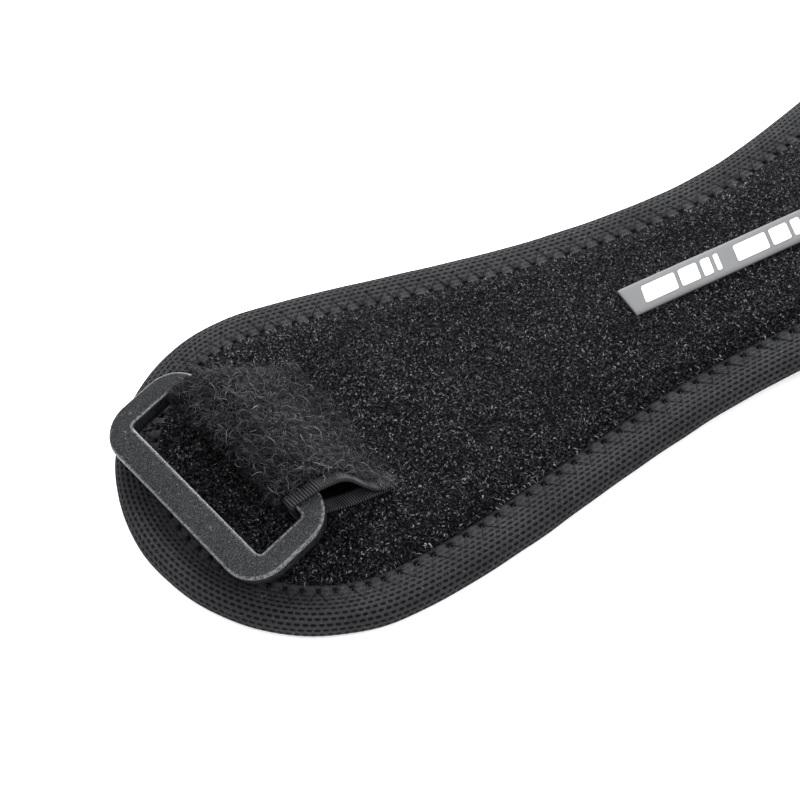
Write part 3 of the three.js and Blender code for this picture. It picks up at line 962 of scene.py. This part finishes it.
# %% Build the tape
RIB_PITCH, RIB_HEIGHT, RIBS_FROM = 0.46, 0.07, 13.2
run, reach, high = tape_route()
over = ease((run - run[np.argmin(reach)]) / 6)
slope = np.stack([np.gradient(reach), np.gradient(high)], axis=-1)
slope /= np.linalg.norm(slope, axis=1, keepdims=True)
outward = np.stack([-slope[:, 1], slope[:, 0]], axis=-1)
near_half = np.array([-15, -14.75, -14.4, -14, -13.6, -13.3, -12.7, -9.5, -5])
columns = np.concatenate([near_half, [0], -near_half[::-1]])


def tape_points(offset, across):
    along = run[:, None]
    ribs = np.sin(2 * np.pi * along / RIB_PITCH + 0.6 * np.sin(along * 1.7))
    ribs = RIB_HEIGHT * ribs * np.clip((np.abs(across) - RIBS_FROM) / 0.3, 0, 1)
    slack = 0.18 * np.sin(across * 0.32 + 0.5) * np.sin(np.pi * along / run[-1]) ** 2
    off = offset + ribs * np.sign(offset) + slack
    return sweep_tape(
        reach[:, None] + off * outward[:, :1], across, high[:, None] + off * outward[:, 1:],
        over[:, None],
    )


outer = tape_points(TAPE_THICK / 2, columns[None, :])
inner = tape_points(-TAPE_THICK / 2, columns[None, ::-1])
tape_finish = cloth_finish(
    "ribbed tape", (0.002, 0.002, 0.0024), (0.040, 0.040, 0.043), 0.8, 0.04, "tape_mm",
    (RIB_PITCH, 0.9), 0.2, (0.2, 150.0, 0.1, 2200.0), 0.00008, softer=0.05, harder=0.15,
    bare=(12.8, 13.4, (0.001, 0.001, 0.0013)),
)
tape = add_piece(
    "loop_tape", np.concatenate([outer, inner], axis=1), sheet_faces(len(run), len(columns)),
    tape_finish,
)
across_tape = np.tile(np.concatenate([columns, columns[::-1] + 0.35]), len(run))
along_tape = np.repeat(run, 2 * len(columns))
write_attribute(tape, "tape_mm", np.stack([along_tape, across_tape, 0 * along_tape], axis=-1))
print("tape", round(run[-1], 1), "mm long")

# %% [markdown]
# ## The fuzz on the tape
# The loop side of this tape is brushed, so its strands are more than twice as long as those on the
# face and curl over each other. They stand on the outer side of the fold, thinner where it is
# hidden, and leave the woven edge on the near side bare. One corner is frayed, as in the photograph.

# %% Grow the fuzz
FUZZ_SINK = 0.05


def tape_roots(count, run_span, across_span):
    at, across = rng.uniform(*run_span, count), rng.uniform(*across_span, count)
    out_x, out_z = (np.interp(at, run, outward[:, k]) for k in (0, 1))
    rest = TAPE_THICK / 2 - FUZZ_SINK
    spot = sweep_tape(
        np.interp(at, run, reach) + rest * out_x, across, np.interp(at, run, high) + rest * out_z,
        np.interp(at, run, over),
    )
    normals = np.stack(
        [out_x * math.cos(SEAM_BEARING), out_x * math.sin(SEAM_BEARING), out_z], axis=-1,
    )
    return spot, normals / np.linalg.norm(normals, axis=1, keepdims=True), mottle(at, across, 1.9)


folded_at = run[np.argmin(reach)]
fuzz_finish = strand_finish(
    "brushed fuzz", (0.0006, 0.0006, 0.0008), (0.084, 0.084, 0.091), 0.55,
)
fuzz = []
for name, count, run_span, across_span, long, pale in (
    ("tape_fuzz", 15500, (folded_at - 5.5, run[-1]), (-14.6, 13.2), 1.0, 0.0),
    ("tape_fuzz_below", 1400, (3.0, folded_at - 5.5), (-13.2, 13.2), 0.6, 0.0),
    ("tape_fuzz_stray", 520, (folded_at - 2.0, run[-1]), (-15.0, 13.4), 1.5, 0.2),
    ("corner_tuft", 130, (run[-1] - 1.6, run[-1]), (12.6, 15.0), 1.1, 0.22),
):
    spot, normals, patches = tape_roots(count, run_span, across_span)
    tone = np.clip(rng.beta(0.38, 3.0, count) + 0.05 * patches + pale, 0, 1)
    lengths = long * rng.uniform(1.0, 2.3, count) * (1 + 0.3 * patches)
    half = rng.uniform(0.026, 0.045, count) + 0.03 * tone
    fuzz.append(grow(
        name, spot, normals, lengths, [1.25, 0.75, 0.2, -0.25, -0.5], 1.9, half, tone,
        fuzz_finish,
    ))

# %% [markdown]
# ## Thread
# A zigzag holds the binding down on both sides. Each leg of it is a short tube that comes out of one
# needle hole and goes into the next, so the stitches catch light one by one.

# %% Tubes and stitches
TUBE_SIDES = 5


def add_tubes(name, paths, radii, tones, finish, up=(0.0, 0.0, 1.0)):
    paths = np.asarray(paths, dtype=float)
    count, steps = paths.shape[:2]
    tangent = np.gradient(paths, axis=1)
    tangent /= np.linalg.norm(tangent, axis=2, keepdims=True)
    first = np.cross(tangent, np.broadcast_to(up, tangent.shape))
    first /= np.linalg.norm(first, axis=2, keepdims=True)
    first, second = first[:, :, None, :], np.cross(first, tangent)[:, :, None, :]
    a = (2 * np.pi * np.arange(TUBE_SIDES) / TUBE_SIDES)[None, None, :, None]
    radii = np.broadcast_to(radii, (count, steps))[:, :, None, None]
    points = paths[:, :, None, :] + radii * (np.cos(a) * first + np.sin(a) * second)
    one = grid_faces(steps, TUBE_SIDES, wrap_columns=True)
    faces = one[None] + (np.arange(count) * steps * TUBE_SIDES)[:, None, None]
    piece = add_piece(name, points, faces.reshape(-1, 4), finish)
    write_attribute(piece, "tone", np.repeat(rng.uniform(*tones, count), steps * TUBE_SIDES))
    return piece


def zigzag_legs(below):
    t = np.linspace(0.12, 0.92, 6)
    start = np.arange(2 * STITCH_COUNT) * STITCH_PITCH / 2
    from_v = np.where(np.arange(len(start)) % 2 == 0, INNER_STITCH, OUTER_STITCH)
    to_v = INNER_STITCH + OUTER_STITCH - from_v
    at = start[:, None] + t[None, :] * STITCH_PITCH / 2
    across = from_v[:, None] + t[None, :] * (to_v - from_v)[:, None]
    inset, height = tape_section(at, SECTION_RUN - across if below else across)
    above = -0.26 + 0.33 * np.sin(np.pi * t) ** 0.6
    height = np.maximum(height - above, 0.0) + 0.12 if below else height + above
    return inset_points(at, inset, height)


thread_finish = strand_finish(
    "sewing thread", (0.007, 0.007, 0.008), (0.020, 0.020, 0.022), 0.65,
)
thread_radii = 0.11 * np.array([0.8, 1, 1, 1, 1, 0.8])
threads = [
    add_tubes(name, zigzag_legs(below), thread_radii, (0.2, 1.0), thread_finish)
    for name, below in (("zigzag_above", False), ("zigzag_below", True))
]

# %% [markdown]
# ## The strip
# A thin grey woven strip lies along the face. The print on it is left generic: light slanted bars,
# each a slightly raised film with round corners.

# %% Build the strip
STRIP_FROM, STRIP_LENGTH, STRIP_WIDTH, STRIP_THICK, STRIP_ASIDE = 89.0, 78.0, 6.3, 0.5, 1.0
STRIP_TO = STRIP_FROM + STRIP_LENGTH
STRIP_BASE = EDGE_HEIGHT + FACE_SWELL + CLEARANCE


def strip_top(x):
    return STRIP_BASE + STRIP_THICK + 0.05 * np.sin(x * 0.21) + lift(x)


across = np.concatenate([[-1], np.linspace(-0.97, 0.97, 13), [1]]) * STRIP_WIDTH / 2
round_off = 0.14 * np.clip((np.abs(across) - 2.9) / 0.25, 0, 1) ** 2
along = STRIP_FROM + np.concatenate([
    [0, 0.12], np.linspace(0.4, STRIP_LENGTH - 0.4, 150), [STRIP_LENGTH - 0.12, STRIP_LENGTH],
])
X, Y = np.meshgrid(along, across, indexing="ij")
end_drop = 0.12 * np.clip(1 - np.minimum(X - STRIP_FROM, STRIP_TO - X) / 0.4, 0, 1) ** 2
top = np.stack([X, Y + STRIP_ASIDE, strip_top(X) - round_off - end_drop], axis=-1)
under = np.stack([X, Y[:, ::-1] + STRIP_ASIDE, STRIP_BASE + lift(X) + 0.02], axis=-1)
strip_points = np.concatenate([top, under], axis=1).reshape(-1, 3)
strip = add_piece("strip", strip_points, sheet_faces(len(along), len(across)))

# %% Print the bars
BAR_TALL, BAR_SLANT, BAR_CORNER = 3.5, 0.32, 0.35
BAR_WIDTHS = [6.4, 3.6, 1.8, 0.9]
BAR_GAP, GROUP_GAP = 0.8, 2.4
BARS_START, BARS_STOP = 3.2, 14


def bar_outline(x0, width, inset):
    low = np.array([x0, -BAR_TALL / 2]) + inset
    high = np.array([x0 + width, BAR_TALL / 2]) - inset
    row = rounded_row(low, high, max(BAR_CORNER - inset, 0), turns=4, runs=6)
    row[:, 0] += BAR_SLANT * row[:, 1]
    return row


bar_points, bar_faces, at = [], [], STRIP_FROM + BARS_START
while at < STRIP_TO - BARS_STOP:
    for width in BAR_WIDTHS:
        steps = ((0.0, -0.1), (0.0, 0.05), (0.05, 0.09), (min(width, BAR_TALL) / 2, 0.09))
        first = sum(len(row) for row in bar_points)
        for inset, rise in steps:
            x, y = bar_outline(at, width, inset).T
            bar_points.append(np.column_stack([x, y + STRIP_ASIDE, strip_top(x) + rise]))
        bar_faces.append(grid_faces(len(steps), len(x), wrap_columns=True, first=first))
        at += width + BAR_GAP
    at += GROUP_GAP
bar_points = np.concatenate(bar_points)
bars = add_piece("strip_bars", bar_points, np.concatenate(bar_faces))


# %% Strip and print finishes
def strip_finish(piece, points, name, dark, light, roughness, depth):
    write_attribute(piece, "tape_mm", points * [1, 1, 0])
    piece.data.materials.append(cloth_finish(
        name, dark, light, roughness, 0.45, "tape_mm", (0.22, 0.22), 0.5,
        (0.06, 80.0, 0.0, 900.0), depth, mask="Height",
    ))


grey_dark, grey_light = (0.062, 0.063, 0.066), (0.080, 0.081, 0.085)
strip_finish(strip, strip_points, "grey strip", grey_dark, grey_light, 0.6, 0.00002)
print_dark, print_light = (0.66, 0.66, 0.67), (0.74, 0.74, 0.75)
strip_finish(bars, bar_points, "pale print", print_dark, print_light, 0.45, 0.00001)

# %% [markdown]
# ## The hook patch
# The tail closes on the looped face with hook tape. Its base is a close weave sewn round the border,
# and each hook is a small tapered tube bent over at the top, in rows that face opposite ways. The
# base's innermost rows shrink to a line, and are welded there so that no face lies on another.

# %% Base of the patch
HOOK_LOW, HOOK_HIGH, HOOK_CORNER = np.array([336.0, -11.0]), np.array([392.0, 11.0]), 4.0
HOOK_BASE = EDGE_HEIGHT + CLEARANCE
base_rows = []
for distance, z in (
    (11, 0.02), (6, 0.02), (0.4, 0.02), (0.06, 0.1), (0, 0.25), (0.08, 0.38), (0.3, 0.42),
    (1.0, 0.40), (2.0, 0.42), (4.0, 0.42), (7.0, 0.42), (11, 0.42),
):
    corner = max(HOOK_CORNER - distance, 0)
    row = rounded_row(HOOK_LOW + distance, HOOK_HIGH - distance, corner, runs=20)
    base_rows.append(np.column_stack([row, np.full(len(row), HOOK_BASE + z)]))
hook_points = np.concatenate(base_rows)
hook_base = add_piece(
    "hook_tape", hook_points, grid_faces(len(base_rows), len(base_rows[0]), wrap_columns=True),
)
hook_dark, hook_light = (0.006, 0.006, 0.007), (0.018, 0.018, 0.020)
strip_finish(hook_base, hook_points, "hook tape", hook_dark, hook_light, 0.7, 0.00006)
welded = bmesh.new()
welded.from_mesh(hook_base.data)
bmesh.ops.remove_doubles(welded, verts=welded.verts, dist=1e-6)
welded.to_mesh(hook_base.data)
welded.free()

# %% Hooks
HOOK_SHAPE = np.array([[0, 0], [0, 0.42], [0.04, 0.60], [0.15, 0.73], [0.30, 0.74], [0.42, 0.60]])
HOOK_RADII = np.array([0.14, 0.11, 0.10, 0.09, 0.08, 0.03])
HOOK_MIDDLE = 364
gx, gy = np.meshgrid(np.arange(337.9, 390.3, 1.15), np.arange(-9.0, 9.1, 1.0), indexing="ij")
gx, gy = gx.ravel(), gy.ravel()
beyond_x, beyond_y = np.abs(gx - HOOK_MIDDLE) - 24, np.abs(gy) - 7
corner = np.hypot(np.clip(beyond_x, 0, None), np.clip(beyond_y, 0, None))
gx, gy = gx[corner < 2.4], gy[corner < 2.4]
way = np.where(np.round(gy) % 2 == 0, 1.0, -1.0)
hooks = np.zeros((len(gx), len(HOOK_SHAPE), 3))
hooks[:, :, 0] = gx[:, None] + way[:, None] * HOOK_SHAPE[None, :, 0]
hooks[:, :, 0] += rng.normal(0, 0.03, len(gx))[:, None]
hooks[:, :, 1] = gy[:, None] + rng.normal(0, 0.02, (len(gx), len(HOOK_SHAPE)))
hooks[:, :, 2] = HOOK_BASE + 0.38 + HOOK_SHAPE[None, :, 1]
plastic = strand_finish(
    "hook plastic", (0.006, 0.006, 0.007), (0.026, 0.026, 0.028), 0.4, specular=0.4,
)
hook_field = add_tubes("hooks", hooks, HOOK_RADII, (0.1, 0.6), plastic, up=(0.0, 1.0, 0.0))

# %% Border stitches
STITCH_LENGTH = 2.6
border = rounded_row(HOOK_LOW + 1.0, HOOK_HIGH - 1.0, HOOK_CORNER - 1.0, runs=60)
border = np.vstack([border, border[:1]])
border_at = np.concatenate([[0], np.cumsum(np.hypot(*np.diff(border, axis=0).T))])
sewn = round(border_at[-1] / STITCH_LENGTH)
legs = []
for i in range(sewn):
    t = np.linspace(0.04, 0.96, 6)
    at = (i + t) * border_at[-1] / sewn
    px, py = (np.interp(at, border_at, border[:, k]) for k in (0, 1))
    legs.append(np.column_stack([px, py, HOOK_BASE + 0.30 + 0.24 * np.sin(np.pi * t) ** 0.5]))
hook_stitches = add_tubes("hook_stitches", legs, 0.13, (0.2, 0.9), thread_finish)

# %% [markdown]
# ## Floor and light
# The photograph is a studio shot on white: the floor is as bright as paper and the shadow is only a
# soft grey hem. A bright even world and a floor that glows a little give that. Black cloth needs
# light from the side to show its weave, so broad soft lamps stand round the strap, the strongest
# behind it. None stands where the ring's flat top would mirror it into the camera.

# %% Light the strap
FLOOR_HALF, FLOOR_DROP = 3, -0.0003
floor_corners = [
    (FLOOR_HALF * a, FLOOR_HALF * b, FLOOR_DROP) for a, b in ((-1, -1), (1, -1), (1, 1), (-1, 1))
]
floor = add_object("floor", floor_corners, [[0, 1, 2, 3]])
paper, _ = start_finish("pale floor", 0.7, specular=0.2)
shader = principled(paper)
shader["Base Color"].default_value = (0.92, 0.92, 0.925, 1)
shader["Emission Color"].default_value = (1, 1, 1, 1)
shader["Emission Strength"].default_value = 0.3
floor.data.materials.append(paper)

world = bpy.data.worlds.new("studio")
bpy.context.scene.world = world
world.use_nodes = True
sky = world.node_tree.nodes["Background"].inputs
sky["Color"].default_value = (0.96, 0.98, 1, 1)
sky["Strength"].default_value = 0.75
for name, at, aim_x, size, power in (
    ("back lamp", (0.10, 0.44, 0.33), -0.14, 0.32, 7.0),
    ("top lamp", (-0.30, -0.25, 0.70), -0.14, 0.35, 5.0),
    ("rim lamp", (0.27, 0.54, 0.20), -0.14, 0.35, 2.5),
    ("near lamp", (0.30, -0.35, 0.45), -0.12, 0.30, 2.6),
    ("left lamp", (-0.80, 0.08, 0.30), -0.15, 0.35, 1.0),
):
    lamp = bpy.data.objects.new(name, bpy.data.lights.new(name, "AREA"))
    lamp.data.size, lamp.data.energy = size, power
    lamp.location = at
    towards = Vector((aim_x, 0, 0)) - Vector(at)
    lamp.rotation_euler = towards.to_track_quat("-Z", "Y").to_euler()
    bpy.context.collection.objects.link(lamp)
bpy.context.scene.view_settings.view_transform = "Standard"

# %% [markdown]
# ## Join the pieces to the frame
# The strap has one body, so every piece rides on the root. Each CAD solid is then swapped for the
# piece that stands for it.

# %% Ride and replace
for piece in (
    binding, panel, ring, tape, strip, bars, hook_base, hook_field, hook_stitches,
    *pile, *fuzz, *threads,
):
    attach(piece, "root")
for piece, node in (
    (binding, "edge_binding"), (panel, "panel"), (ring, "buckle"), (tape, "loop_tab"),
    (strip, "label_strip"), (hook_base, "hook_patch"),
):
    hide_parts(node)

# %% Measure the whole
shown = [o for o in bpy.data.objects if o.type == "MESH" and not o.hide_render]
print("triangles", sum(count_triangles(o) for o in shown))
